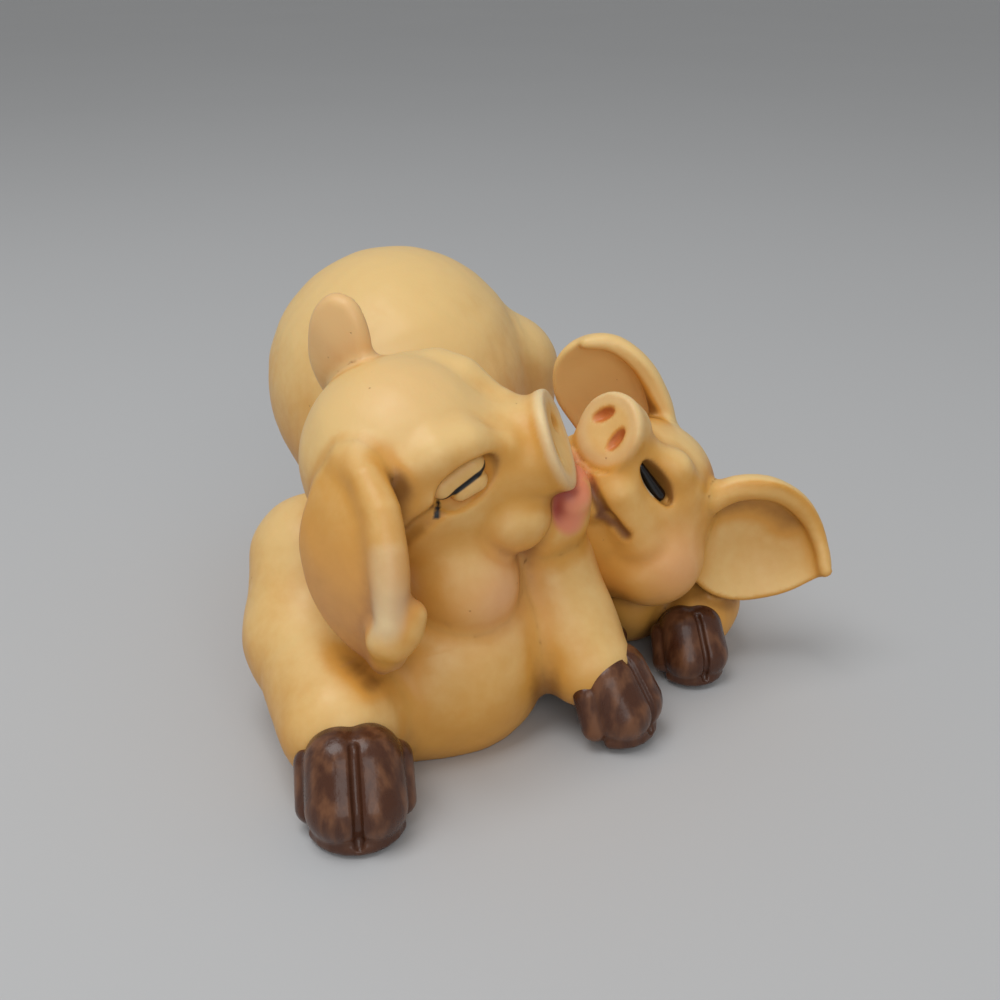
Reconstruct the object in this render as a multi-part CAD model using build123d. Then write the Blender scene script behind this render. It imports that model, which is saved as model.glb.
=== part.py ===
from build123d import *
import os
from math import asin, cos, pi, sin, sqrt

# A cast and hand-painted resin ornament of two piglets kissing. X runs to the viewer's right, Y away
# from the viewer and Z up. The castings are glued together on round pegs, so nothing moves.

# Sizes of the group, in millimetres
group_depth = 100.0
glue_gap = 0.1
cleft_width = 1.0
nostril_width = 1.1
nostril_length = 3.4
nostril_depth = 1.2

# Front pig: the casting of its body
front_chest_radius = 15.3
front_neck_radius = 14.5
front_loin_radius = 17.0
front_rump_radius = 20.6

# Front pig: head
front_head_radius = 13.0
front_jowl_radius = 11.8
front_muzzle_radius = 9.3
front_snout_radius = 5.9
front_disc_radius = 6.3
front_disc_thickness = 1.6
front_cheek_radius = 7.8
front_pad_radius = 5.1
front_brow_radius = 1.8
front_jaw_radius = 6.6
front_lip_radius = 3.6
front_eye_radius = 3.3

# Front pig: ears, legs and tail
front_right_ear_length = 26.0
front_right_ear_width = 17.0
front_left_ear_length = 15.0
front_left_ear_width = 9.0
front_ear_thickness = 2.2
front_ear_curve_radius = 26.0
front_right_shoulder_radius = 9.5
front_right_elbow_radius = 8.3
front_right_wrist_radius = 8.2
front_right_hoof_radius = 8.0
front_left_shoulder_radius = 8.0
front_left_elbow_radius = 7.0
front_left_wrist_radius = 6.2
front_left_hoof_radius = 7.2
front_thigh_radius = 9.0
front_knee_radius = 7.6
front_hock_radius = 5.6
front_hind_hoof_radius = 5.8
front_tail_radius = 2.0

# Rear pig: body and head
rear_chest_radius = 11.0
rear_rump_radius = 12.6
rear_head_radius = 11.0
rear_jowl_radius = 9.0
rear_muzzle_radius = 8.1
rear_snout_radius = 5.1
rear_disc_radius = 5.3
rear_disc_thickness = 1.4
rear_cheek_radius = 7.6
rear_pad_radius = 3.6
rear_brow_radius = 1.6
rear_jaw_radius = 6.0
rear_lip_radius = 3.0
rear_eye_radius = 2.7

# Rear pig: ears, legs and tail
rear_left_ear_length = 19.5
rear_left_ear_width = 21.0
rear_right_ear_length = 20.0
rear_right_ear_width = 16.0
rear_ear_thickness = 2.0
rear_ear_curve_radius = 22.0
rear_shoulder_radius = 6.8
rear_elbow_radius = 6.2
rear_wrist_radius = 5.4
rear_fore_hoof_radius = 6.2
rear_thigh_radius = 6.8
rear_knee_radius = 5.6
rear_hock_radius = 4.6
rear_hind_hoof_radius = 5.0
rear_tail_radius = 1.6

# Pegs that locate the castings in each other
head_peg_radius = 3.0
head_peg_depth = 7.0
limb_peg_radius = 2.0
limb_peg_depth = 5.0
hoof_peg_radius = 1.5
hoof_peg_depth = 3.0
tail_peg_radius = 0.7
tail_peg_depth = 2.5

# Places in the group, as shares of its depth: to the right, away from the viewer, and up
front_chest_share = (-0.080, -0.150, 0.105)
front_neck_share = (-0.100, -0.060, 0.200)
front_loin_share = (-0.150, 0.180, 0.340)
front_rump_share = (-0.165, 0.250, 0.365)
front_head_share = (-0.127, -0.170, 0.402)
rear_chest_share = (0.190, 0.060, 0.110)
rear_rump_share = (0.205, 0.260, 0.120)
rear_head_share = (0.205, -0.005, 0.275)

# Legs, from the top joint to the ankle and on to the middle of the hoof, as shares of the group's depth
leg_shares = {
    "front_pig_right_fore": ((-0.260, -0.090, 0.210), (-0.272, -0.170, 0.130), (-0.205, -0.325, 0.095),
                             (-0.180, -0.410, 0.072)),
    "front_pig_left_fore": ((0.050, -0.100, 0.225), (0.090, -0.150, 0.130), (0.120, -0.190, 0.100),
                            (0.158, -0.210, 0.071)),
    "front_pig_right_hind": ((-0.240, 0.270, 0.280), (-0.240, 0.170, 0.080), (-0.240, 0.340, 0.058),
                             (-0.240, 0.420, 0.052)),
    "front_pig_left_hind": ((0.005, 0.290, 0.365), (-0.020, 0.170, 0.080), (-0.015, 0.340, 0.058),
                            (-0.015, 0.420, 0.052)),
    "rear_pig_left_fore": ((0.290, 0.090, 0.110), (0.300, 0.020, 0.080), (0.293, -0.015, 0.070),
                           (0.285, -0.060, 0.060)),
    "rear_pig_right_fore": ((0.100, 0.080, 0.110), (0.095, 0.010, 0.080), (0.110, -0.030, 0.070),
                            (0.130, -0.080, 0.060)),
    "rear_pig_left_hind": ((0.280, 0.290, 0.100), (0.300, 0.180, 0.060), (0.325, 0.240, 0.048),
                           (0.340, 0.310, 0.045)),
    "rear_pig_right_hind": ((0.130, 0.300, 0.100), (0.105, 0.180, 0.060), (0.085, 0.240, 0.048),
                            (0.075, 0.310, 0.045)),
}
hoof_headings = {
    "front_pig_right_fore": (0.15, -1.0, 0.0),
    "front_pig_left_fore": (0.85, -0.55, 0.0),
    "front_pig_right_hind": (0.0, 1.0, 0.0),
    "front_pig_left_hind": (0.0, 1.0, 0.0),
    "rear_pig_left_fore": (0.35, -0.95, 0.0),
    "rear_pig_right_fore": (-0.1, -1.0, 0.0),
    "rear_pig_left_hind": (0.1, 1.0, 0.0),
    "rear_pig_right_hind": (-0.1, 1.0, 0.0),
}

# Head directions: where the snout points, and the crown of the head
front_head_forward = (0.93, -0.09, 0.351)
front_head_crown = (-0.362, -0.323, 0.872)
rear_head_forward = (-0.30, -0.50, 0.81)
rear_head_crown = (0.74, 0.414, 0.531)

# Features of a head, as shares of the head's radius: forward, to the pig's left, and up.
# A feature off the middle is made on both sides. The radius taper is the far end's share of the near end.
front_feature_shares = {
    "jowl": ((0.0, 0.0, -0.08), (0.08, 0.0, -0.75), 0.95),
    "muzzle": ((0.31, 0.0, -0.38), (1.0, 0.0, -0.42), 0.7),
    "snout": ((0.92, 0.0, -0.42), (1.46, 0.0, -0.39), 0.92),
    "cheek": ((0.08, 0.70, -1.32), (0.08, 0.70, -1.32), 1.0),
    "pad": ((0.76, 0.40, -0.83), (0.83, 0.37, -0.85), 1.0),
    "brow": ((0.46, 0.62, 0.28), (0.96, 0.38, 0.20), 0.9),
    "jaw": ((0.31, 0.0, -1.38), (0.98, 0.0, -1.34), 0.7),
    "lip": ((1.02, 0.22, -1.30), (1.30, 0.10, -1.15), 0.86),
}
rear_feature_shares = {
    "jowl": ((-0.10, 0.0, -0.20), (-0.30, 0.0, -0.70), 1.0),
    "muzzle": ((0.31, 0.0, -0.31), (0.94, 0.0, -0.31), 0.7),
    "snout": ((0.94, 0.0, -0.31), (1.42, 0.0, 0.0), 0.90),
    "cheek": ((-0.31, 0.62, -0.47), (-0.31, 0.62, -0.47), 1.0),
    "pad": ((0.47, 0.48, -0.47), (1.0, 0.40, -0.47), 0.86),
    "brow": ((0.40, 0.66, 0.31), (0.94, 0.44, 0.27), 0.85),
    "jaw": ((0.16, 0.0, -0.78), (1.0, 0.0, -0.78), 0.58),
    "lip": ((0.98, 0.20, -0.74), (1.08, 0.08, -0.72), 0.95),
}
front_disc_share = (1.50, 0.0, -0.385)
rear_disc_share = (1.55, 0.0, -0.06)
front_disc_facing = (1.0, 0.0, 0.0)
rear_disc_facing = (0.85, 0.0, -0.53)
front_eye_share = (0.68, 0.62, -0.11)
rear_eye_share = (0.72, 0.62, -0.04)

# Ears: the root as a share of the head's radius, the way the ear grows and the way its back faces
front_right_ear_root_share = (-0.27, -0.80, 0.72)
front_left_ear_root_share = (-0.54, 0.69, 0.40)
rear_left_ear_root_share = (-0.43, 0.70, 0.38)
rear_right_ear_root_share = (-0.16, -0.70, 0.63)
front_right_ear_growth = (0.17, -0.20, -0.97)
front_left_ear_growth = (0.08, -0.25, 0.95)
rear_left_ear_growth = (0.93, -0.05, -0.37)
rear_right_ear_growth = (-0.505, -0.09, 0.858)
front_right_ear_back = (-0.62, -0.75, 0.20)
front_left_ear_back = (-0.45, -0.85, -0.10)
rear_left_ear_back = (-0.05, 0.96, -0.10)
rear_right_ear_back = (0.0, 0.85, 0.40)

# The leaf outline of an ear, as shares of its length and width, and how far its root is let in
ear_root_width_share = 0.72
ear_widest_share = 0.42
ear_tuck_share = 0.12

# A hoof's lobes, as shares of its radius: forward, to the side and up, then the lobe's own radius
hoof_toe_start_share = (-0.12, 0.32, 0.14)
hoof_toe_end_share = (0.44, 0.38, -0.38)
hoof_heel_share = (-0.35, 0.0, 0.0)
hoof_dewclaw_share = (-0.12, 0.80, -0.12)
hoof_cleft_share = (0.85, 0.0, 0.0)
hoof_toe_radius_share = 0.66
hoof_tip_radius_share = 0.54
hoof_dewclaw_radius_share = 0.34
hoof_cleft_depth_share = 1.1

# A tail's curl from the middle of the rump, as shares of the rump's radius
tail_shares = ((0.0, 0.88, 0.28), (-0.02, 1.14, 0.42), (0.10, 1.18, 0.52))
tail_taper_share = 0.7

# A link of a leg or tail starts this much slimmer than the one before it ends, clear of its face
link_step_share = 0.97

# Lobes are turned about their axes, and balls tipped, by these degrees, so that seams and poles never meet
seam_turn = 53
pole_turn = 37
nostril_offset_share = 0.38


def place(shares):
    """A point of the group from its shares of the group's depth."""
    return Vector(*shares) * group_depth


def round_cone(start, end, start_radius, end_radius):
    """The smooth hull of two balls, which is the lobe that all the sculpted forms are made of."""
    span = (end - start).length
    drop = start_radius - end_radius
    if span <= abs(drop):
        centre, radius = (start, start_radius) if drop > 0 else (end, end_radius)
        return ball(centre, radius)
    lean = asin(drop / span)
    low_angle = (lean - pi / 2) / 2
    high_angle = (lean + pi / 2) / 2
    low_tangent = (start_radius * cos(lean), 0, start_radius * sin(lean))
    high_tangent = (end_radius * cos(lean), 0, span + end_radius * sin(lean))
    foot = (0, 0, -start_radius)
    top = (0, 0, span + end_radius)
    low_middle = (start_radius * cos(low_angle), 0, start_radius * sin(low_angle))
    high_middle = (end_radius * cos(high_angle), 0, span + end_radius * sin(high_angle))
    outline = Curve() + [
        ThreePointArc(foot, low_middle, low_tangent),
        Line(low_tangent, high_tangent),
        ThreePointArc(high_tangent, high_middle, top),
        Line(top, foot),
    ]
    lobe = revolve(make_face(outline.edges()), Axis.Z)
    return Plane(origin=start, z_dir=end - start).location * Rot(0, 0, seam_turn) * lobe


def ball(centre, radius):
    return Pos(*centre) * Rot(pole_turn, pole_turn, 0) * Sphere(radius)


def largest(shape):
    """The main solid of a shape, without the chips that a cut can leave."""
    return max(shape.solids(), key=lambda solid: solid.volume)


def boxes_meet(one, other):
    a, b = one.bounding_box(), other.bounding_box()
    return (a.min.X < b.max.X and b.min.X < a.max.X and a.min.Y < b.max.Y and b.min.Y < a.max.Y
            and a.min.Z < b.max.Z and b.min.Z < a.max.Z)


def carve(blank, neighbours):
    """The blank with its larger neighbours cut away, so that it meets them face to face."""
    for neighbour in neighbours:
        if boxes_meet(blank, neighbour):
            blank = largest(blank - neighbour)
    return blank


class Head:
    """A head's own axes, and the points that are given in them."""

    def __init__(self, centre, forward, crown, radius):
        self.centre = centre
        self.radius = radius
        self.forward = Vector(*forward).normalized()
        self.left = Vector(*crown).cross(self.forward).normalized()
        self.up = self.forward.cross(self.left)

    def direction(self, shares, side=1):
        along, across, above = shares
        return self.forward * along + self.left * (across * side) + self.up * above

    def point(self, shares, side=1):
        return self.centre + self.direction(shares, side) * self.radius


def head_solid(head, features, radii, disc_share, disc_facing, disc_radius, disc_thickness):
    """Cranium, jowls, muzzle, snout with its nostril disc, whisker pads, brows, cheeks, jaw and lip."""
    lobes = [ball(head.centre, head.radius)]
    for name, (start, end, taper) in features.items():
        sides = (1, -1) if start[1] else (1,)
        for side in sides:
            lobes.append(round_cone(head.point(start, side), head.point(end, side),
                                    radii[name], radii[name] * taper))
    disc_plane = Plane(origin=head.point(disc_share), x_dir=head.left, z_dir=head.direction(disc_facing))
    disc = Cylinder(disc_radius, disc_thickness)
    disc = fillet(disc.edges().filter_by(GeomType.CIRCLE), disc_thickness / 3)
    beyond = Cylinder(disc_radius, disc_radius * 2, align=(Align.CENTER, Align.CENTER, Align.MIN))
    solid = (Part() + lobes) - disc_plane.location * beyond + disc_plane.location * disc
    for side in (1, -1):
        slot = Box(nostril_width, nostril_length, nostril_depth)
        seat = Pos(nostril_offset_share * disc_radius * side, 0, (disc_thickness - nostril_depth) / 2)
        solid -= disc_plane.location * seat * slot
    return largest(solid)


def ear_solid(root, growth, back, length, width, thickness, curve_radius):
    """A leaf cut from a hollow ball, so that the ear is cupped and curls along its length."""
    growth = Vector(*growth).normalized()
    plane = Plane(origin=root, x_dir=growth, z_dir=(Vector(*back) - growth * growth.dot(Vector(*back))))
    root_x = -ear_tuck_share * length
    root_half = ear_root_width_share * width / 2
    outline = Curve() + [
        Line((root_x, root_half), (root_x, -root_half)),
        ThreePointArc((root_x, -root_half), (ear_widest_share * length, -width / 2), (length, 0)),
        ThreePointArc((length, 0), (ear_widest_share * length, width / 2), (root_x, root_half)),
    ]
    sag = curve_radius - sqrt(curve_radius ** 2 - (length / 2) ** 2)
    blank = Pos(0, 0, -curve_radius) * extrude(make_face(outline.edges()), curve_radius * 2)
    shell = Sphere(curve_radius) - Sphere(curve_radius - thickness)
    return largest(plane.location * (blank & (Pos(length / 2, 0, sag - curve_radius) * shell)))


def hoof_solid(centre, heading, radius):
    """Two toes with a cleft between them, a heel and a dewclaw on each side."""
    forward = Vector(*heading).normalized()
    left = Vector(0, 0, 1).cross(forward)

    def at(shares, side=1):
        along, across, above = shares
        return centre + (forward * along + left * (across * side) + Vector(0, 0, above)) * radius

    lobes = [ball(at(hoof_heel_share), radius * hoof_toe_radius_share)]
    for side in (1, -1):
        lobes.append(round_cone(at(hoof_toe_start_share, side), at(hoof_toe_end_share, side),
                                radius * hoof_toe_radius_share, radius * hoof_tip_radius_share))
        lobes.append(ball(at(hoof_dewclaw_share, side), radius * hoof_dewclaw_radius_share))
    cleft = Box(radius * hoof_cleft_depth_share, cleft_width, radius * 2)
    seat = Plane(origin=at(hoof_cleft_share), x_dir=forward, z_dir=(0, 0, 1)).location
    return largest((Part() + lobes) - seat * cleft)


def chain(points, radii):
    """Round cones run end to end through a row of points."""
    first = round_cone(points[0], points[1], radii[0], radii[1])
    last = round_cone(points[1], points[2], radii[1] * link_step_share, radii[2])
    return first + last


def peg(start, parent_centre, parent_radius, depth, radius):
    """A peg from inside a casting to a given depth below the ball of its parent, or below its start."""
    axis = parent_centre - start
    length = max(axis.length - parent_radius, 0) + depth
    rod = Cylinder(radius, length, align=(Align.CENTER, Align.CENTER, Align.MIN))
    return Plane(origin=start, z_dir=axis).location * Rot(0, 0, seam_turn) * rod


pieces = {}
joints = []


def add(name, blank):
    """Cut the blank by the ground and by every casting made before it, and keep it under its name."""
    pieces[name] = carve(blank, [ground, *pieces.values()])


def join(child, parent, start, parent_centre, parent_radius, depth, radius):
    """Note a peg on the child and its socket in the parent, a glue gap wider and deeper."""
    joints.append((child, parent,
                   peg(start, parent_centre, parent_radius, depth, radius),
                   peg(start, parent_centre, parent_radius, depth + glue_gap, radius + glue_gap)))


ground = Pos(0, 0, -group_depth) * Box(group_depth * 4, group_depth * 4, group_depth * 2)

# Bodies
front_chest, front_neck, front_rump = place(front_chest_share), place(front_neck_share), place(front_rump_share)
rear_chest, rear_rump = place(rear_chest_share), place(rear_rump_share)
add("front_pig_body", Part() + [
    ball(front_chest, front_chest_radius),
    round_cone(front_neck, place(front_loin_share), front_neck_radius, front_loin_radius),
    ball(front_rump, front_rump_radius),
])
add("rear_pig_body", round_cone(rear_chest, rear_rump, rear_chest_radius, rear_rump_radius))

# Heads, each pegged to the chest below it
front_head = Head(place(front_head_share), front_head_forward, front_head_crown, front_head_radius)
rear_head = Head(place(rear_head_share), rear_head_forward, rear_head_crown, rear_head_radius)
front_radii = {
    "jowl": front_jowl_radius, "muzzle": front_muzzle_radius, "snout": front_snout_radius,
    "cheek": front_cheek_radius, "pad": front_pad_radius, "brow": front_brow_radius,
    "jaw": front_jaw_radius, "lip": front_lip_radius,
}
rear_radii = {
    "jowl": rear_jowl_radius, "muzzle": rear_muzzle_radius, "snout": rear_snout_radius,
    "cheek": rear_cheek_radius, "pad": rear_pad_radius, "brow": rear_brow_radius,
    "jaw": rear_jaw_radius, "lip": rear_lip_radius,
}
add("front_pig_head", head_solid(front_head, front_feature_shares, front_radii,
                                 front_disc_share, front_disc_facing, front_disc_radius, front_disc_thickness))
add("rear_pig_head", head_solid(rear_head, rear_feature_shares, rear_radii,
                                rear_disc_share, rear_disc_facing, rear_disc_radius, rear_disc_thickness))
join("front_pig_head", "front_pig_body", front_head.centre, front_chest, front_chest_radius,
     head_peg_depth, head_peg_radius)
join("rear_pig_head", "rear_pig_body", rear_head.centre, rear_chest, rear_chest_radius,
     head_peg_depth, head_peg_radius)

# Eyes, balls let into sockets that are a glue gap wider
for pig, head, share, radius in (("front_pig", front_head, front_eye_share, front_eye_radius),
                                 ("rear_pig", rear_head, rear_eye_share, rear_eye_radius)):
    for side_name, side in (("left", 1), ("right", -1)):
        seat = Plane(origin=head.point(share, side), x_dir=head.forward, z_dir=head.left).location
        socket = seat * Rot(0, 0, seam_turn) * Sphere(radius + glue_gap)
        pieces[f"{pig}_head"] = largest(pieces[f"{pig}_head"] - socket)
        pieces[f"{pig}_{side_name}_eye"] = largest(seat * Sphere(radius))

# Legs and hooves: each leg is pegged to its body and each hoof to its leg
leg_radii = {
    "front_pig_right_fore": (front_right_shoulder_radius, front_right_elbow_radius,
                             front_right_wrist_radius, front_right_hoof_radius),
    "front_pig_left_fore": (front_left_shoulder_radius, front_left_elbow_radius,
                            front_left_wrist_radius, front_left_hoof_radius),
    "rear_pig_fore": (rear_shoulder_radius, rear_elbow_radius, rear_wrist_radius, rear_fore_hoof_radius),
    "front_pig_hind": (front_thigh_radius, front_knee_radius, front_hock_radius, front_hind_hoof_radius),
    "rear_pig_hind": (rear_thigh_radius, rear_knee_radius, rear_hock_radius, rear_hind_hoof_radius),
}
body_balls = {
    "front_pig_fore": (front_neck, front_neck_radius), "front_pig_hind": (front_rump, front_rump_radius),
    "rear_pig_fore": (rear_chest, rear_chest_radius), "rear_pig_hind": (rear_rump, rear_rump_radius),
}
for limb, shares in leg_shares.items():
    pair = limb.replace("_left", "").replace("_right", "")
    *radii, hoof_radius = leg_radii.get(limb) or leg_radii[pair]
    *points, hoof_centre = [place(share) for share in shares]
    parent_centre, parent_radius = body_balls[pair]
    add(f"{limb}_leg", chain(points, radii))
    add(f"{limb}_hoof", hoof_solid(hoof_centre, hoof_headings[limb], hoof_radius))
    join(f"{limb}_leg", f"{pair[:pair.rindex('_')]}_body", points[1],
         parent_centre, parent_radius, limb_peg_depth, limb_peg_radius)
    join(f"{limb}_hoof", f"{limb}_leg", hoof_centre, points[-1], radii[-1], hoof_peg_depth, hoof_peg_radius)

# Ears, each glued face to face to its head
ears = {
    "front_pig_right_ear": (front_head, front_right_ear_root_share, front_right_ear_growth,
                            front_right_ear_back, front_right_ear_length, front_right_ear_width,
                            front_ear_thickness, front_ear_curve_radius),
    "front_pig_left_ear": (front_head, front_left_ear_root_share, front_left_ear_growth,
                           front_left_ear_back, front_left_ear_length, front_left_ear_width,
                           front_ear_thickness, front_ear_curve_radius),
    "rear_pig_left_ear": (rear_head, rear_left_ear_root_share, rear_left_ear_growth,
                          rear_left_ear_back, rear_left_ear_length, rear_left_ear_width,
                          rear_ear_thickness, rear_ear_curve_radius),
    "rear_pig_right_ear": (rear_head, rear_right_ear_root_share, rear_right_ear_growth,
                           rear_right_ear_back, rear_right_ear_length, rear_right_ear_width,
                           rear_ear_thickness, rear_ear_curve_radius),
}
for name, (head, root_share, growth, back, *sizes) in ears.items():
    root = head.point(root_share)
    add(name, ear_solid(root, growth, back, *sizes))

# Tails, each pegged to its rump
for pig, rump, rump_radius, radius in (("front_pig", front_rump, front_rump_radius, front_tail_radius),
                                       ("rear_pig", rear_rump, rear_rump_radius, rear_tail_radius)):
    points = [rump + Vector(*share) * rump_radius for share in tail_shares]
    add(f"{pig}_tail", chain(points, [radius, radius, radius * tail_taper_share]))
    join(f"{pig}_tail", f"{pig}_body", points[0], rump, rump_radius, tail_peg_depth, tail_peg_radius)

for child, parent, rod, socket in joints:
    pieces[child] = largest(pieces[child] + rod)
    pieces[parent] = largest(pieces[parent] - socket)

# The origin is the middle of the group's footprint box, on the table
box = Compound(list(pieces.values())).bounding_box()
footprint_middle = Pos(-box.center().X, -box.center().Y, -box.min.Z)
print("Origin moved by", footprint_middle.position)
os.makedirs("parts", exist_ok=True)
for name, solid in pieces.items():
    export_step(footprint_middle * solid, f"parts/{name}.step")
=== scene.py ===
"""Painted resin ornament of two piglets kissing: castings, hooves, eyes and a plain stage."""

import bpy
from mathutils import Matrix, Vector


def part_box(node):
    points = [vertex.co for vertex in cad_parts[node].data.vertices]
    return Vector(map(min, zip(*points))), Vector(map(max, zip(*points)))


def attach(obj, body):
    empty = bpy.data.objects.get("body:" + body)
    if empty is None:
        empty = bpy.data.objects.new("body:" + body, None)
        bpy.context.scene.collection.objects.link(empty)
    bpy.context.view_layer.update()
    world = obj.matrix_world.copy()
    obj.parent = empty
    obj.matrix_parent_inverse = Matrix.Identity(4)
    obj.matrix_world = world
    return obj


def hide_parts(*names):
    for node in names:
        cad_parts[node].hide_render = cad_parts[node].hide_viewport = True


bl_info = {
    "name": "Kissing piglets ornament",
    "version": (1, 0, 0),
    "blender": (4, 5, 0),
    "location": "3D View > Sidebar > Ornament",
    "description": "Models the castings, hooves, eyes and stage of a painted resin ornament",
    "category": "Object",
}

from typing import NamedTuple

import bmesh
import bpy
import numpy as np
from mathutils import Matrix, Vector

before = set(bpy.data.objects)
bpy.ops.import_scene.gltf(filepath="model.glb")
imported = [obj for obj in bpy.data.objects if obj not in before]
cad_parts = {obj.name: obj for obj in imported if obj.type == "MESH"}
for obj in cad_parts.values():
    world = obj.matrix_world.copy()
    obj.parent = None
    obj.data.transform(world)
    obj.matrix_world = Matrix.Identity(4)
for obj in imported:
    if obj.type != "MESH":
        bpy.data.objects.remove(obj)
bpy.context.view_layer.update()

# Forms are laid out in millimetres; Blender objects are in metres
MM = 0.001

# Mesh stages of a skin, from coarse to fine: share of the cell size and rounds of settling
mesh_stages = ((1.8, 9), (1.0, 3), (1.0, 2))

# Height of the swell that a modelling hand leaves on the castings, and its reach, in millimetres
skin_swell = 0.07
swell_reach = 1.1


# Distance fields

def unit(vector):
    vector = np.asarray(vector, float)
    return vector / np.linalg.norm(vector)


def round_cone(points, start, end, start_radius, end_radius):
    """Distance to two balls and the cone that touches them both."""
    axis = end - start
    length2 = axis @ axis
    drop = start_radius - end_radius
    if length2 <= drop * drop:
        centre, radius = (start, start_radius) if drop > 0 else (end, end_radius)
        return np.linalg.norm(points - centre, axis=1) - radius
    a2 = length2 - drop * drop
    il2 = 1.0 / length2
    pa = points - start
    y = pa @ axis
    z = y - length2
    across = pa * length2 - np.outer(y, axis)
    x2 = np.einsum("ij,ij->i", across, across)
    y2 = y * y * length2
    z2 = z * z * length2
    k = np.sign(drop) * drop * drop * x2
    result = (np.sqrt(x2 * a2 * il2) + y * drop) * il2 - start_radius
    at_end = np.sign(z) * a2 * z2 > k
    at_start = np.sign(y) * a2 * y2 < k
    result = np.where(at_start, np.sqrt(x2 + y2) * il2 - start_radius, result)
    return np.where(at_end, np.sqrt(x2 + z2) * il2 - end_radius, result)


def links(row):
    """The straight links of a row of (place, radius) pairs."""
    balls = [(np.asarray(place, float), radius) for place, radius in row]
    return [(start, end, start_radius, end_radius)
            for (start, start_radius), (end, end_radius) in zip(balls[:-1], balls[1:])]


def places_of(row):
    return [place for place, _ in row]


def row_distance(points, row):
    return np.min([round_cone(points, *link) for link in links(row)], axis=0)


def ellipsoid(points, centre, axes, radii):
    local = (points - centre) @ np.asarray(axes).T
    k0 = np.linalg.norm(local / radii, axis=1)
    k1 = np.linalg.norm(local / np.square(radii), axis=1)
    return k0 * (k0 - 1.0) / np.maximum(k1, 1e-9)


def rounded(one, other, edge):
    """Distance to where two shapes overlap, with the edge where they meet rounded."""
    over = np.stack([one + edge, other + edge], axis=1)
    return np.linalg.norm(np.maximum(over, 0), axis=1) + np.minimum(over.max(axis=1), 0) - edge


def round_disc(points, centre, normal, radius, half_thickness, edge):
    local = points - centre
    along = local @ normal
    across = np.linalg.norm(local - np.outer(along, normal), axis=1)
    return rounded(np.abs(along) - half_thickness, across - radius, edge)


def soft_union(one, other, blend):
    overlap = np.maximum(blend - np.abs(one - other), 0) / blend
    return np.minimum(one, other) - overlap * overlap * blend / 4


def soft_cut(body, tool, blend):
    return -soft_union(-body, tool, blend)


def ripple(points, reach):
    """A slow, uneven swell between minus one and one, as a modelling hand leaves it."""
    x, y, z = (points / reach).T
    one = np.sin(x + 1.7 * np.sin(0.6 * y)) * np.sin(1.1 * y + 1.3 * np.sin(0.7 * z))
    return (one + np.sin(0.9 * z + 1.5 * np.sin(0.5 * x))) / 2


def smooth_step(low, high, value):
    share = np.clip((value - low) / (high - low), 0, 1)
    return share * share * (3 - 2 * share)


class Head:
    """A head's own axes, and the points that are given in them as shares of its radius."""

    def __init__(self, centre, forward, crown, radius):
        self.centre = np.asarray(centre, float)
        self.radius = radius
        self.forward = unit(forward)
        self.left = unit(np.cross(crown, self.forward))
        self.up = np.cross(self.forward, self.left)

    def offset(self, shares, side):
        along, across, above = shares
        return self.forward * along + self.left * across * side + self.up * above

    def point(self, shares, side=1):
        return self.centre + self.radius * self.offset(shares, side)

    def direction(self, shares, side=1):
        return unit(self.offset(shares, side))


def append(bm, target):
    """Add one closed shape to the shapes gathered in another mesh."""
    shape = bpy.data.meshes.new("shape")
    bm.to_mesh(shape)
    bm.free()
    target.from_mesh(shape)
    bpy.data.meshes.remove(shape)


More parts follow.
